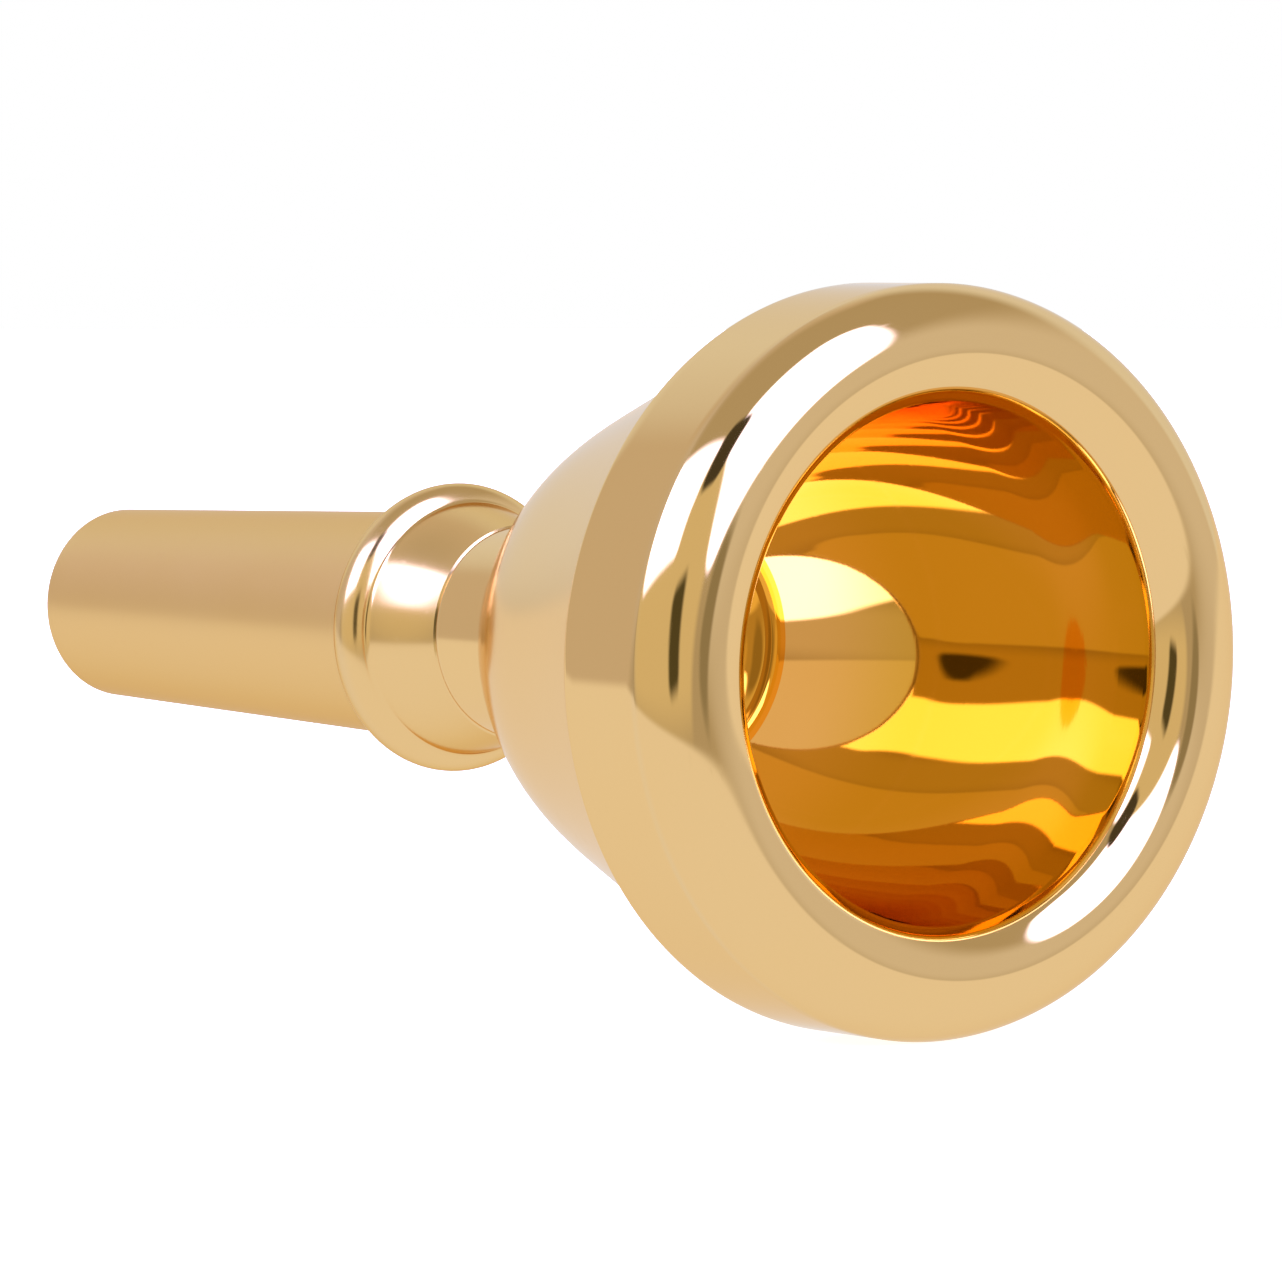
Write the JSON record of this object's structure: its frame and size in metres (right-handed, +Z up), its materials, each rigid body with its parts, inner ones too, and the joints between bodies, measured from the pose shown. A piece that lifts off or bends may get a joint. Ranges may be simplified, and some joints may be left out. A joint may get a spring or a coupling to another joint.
{
  "type": "brass instrument mouthpiece",
  "caption": "Gold-plated cup mouthpiece for a small-shank low brass instrument, in three turned pieces that screw together: rim, cup and tapered shank.",
  "frame": {"origin": "centre of the shank's small end", "axes": "+X along the axis from the shank to the rim, +Z up as the mouthpiece is held for playing"},
  "size_m": [0.0793, 0.0384, 0.0384],
  "materials": {
    "rim_plate": "mirror-polished gold plate",
    "cup_plate": "polished gold plate",
    "shank_plate": "lustre-polished gold plate"
  },
  "bodies": {
    "shank": {"shank": "shank_plate"},
    "cup": {"cup": "cup_plate"},
    "rim": {"rim": "rim_plate"}
  },
  "joints": [
    {"name": "cup_unscrew", "type": "slide", "parent": "shank", "child": "cup", "axis": [1, 0, 0], "range_m": [0, 0.0069]},
    {"name": "rim_unscrew", "type": "slide", "parent": "cup", "child": "rim", "axis": [1, 0, 0], "range_m": [0, 0.0049]}
  ]
}
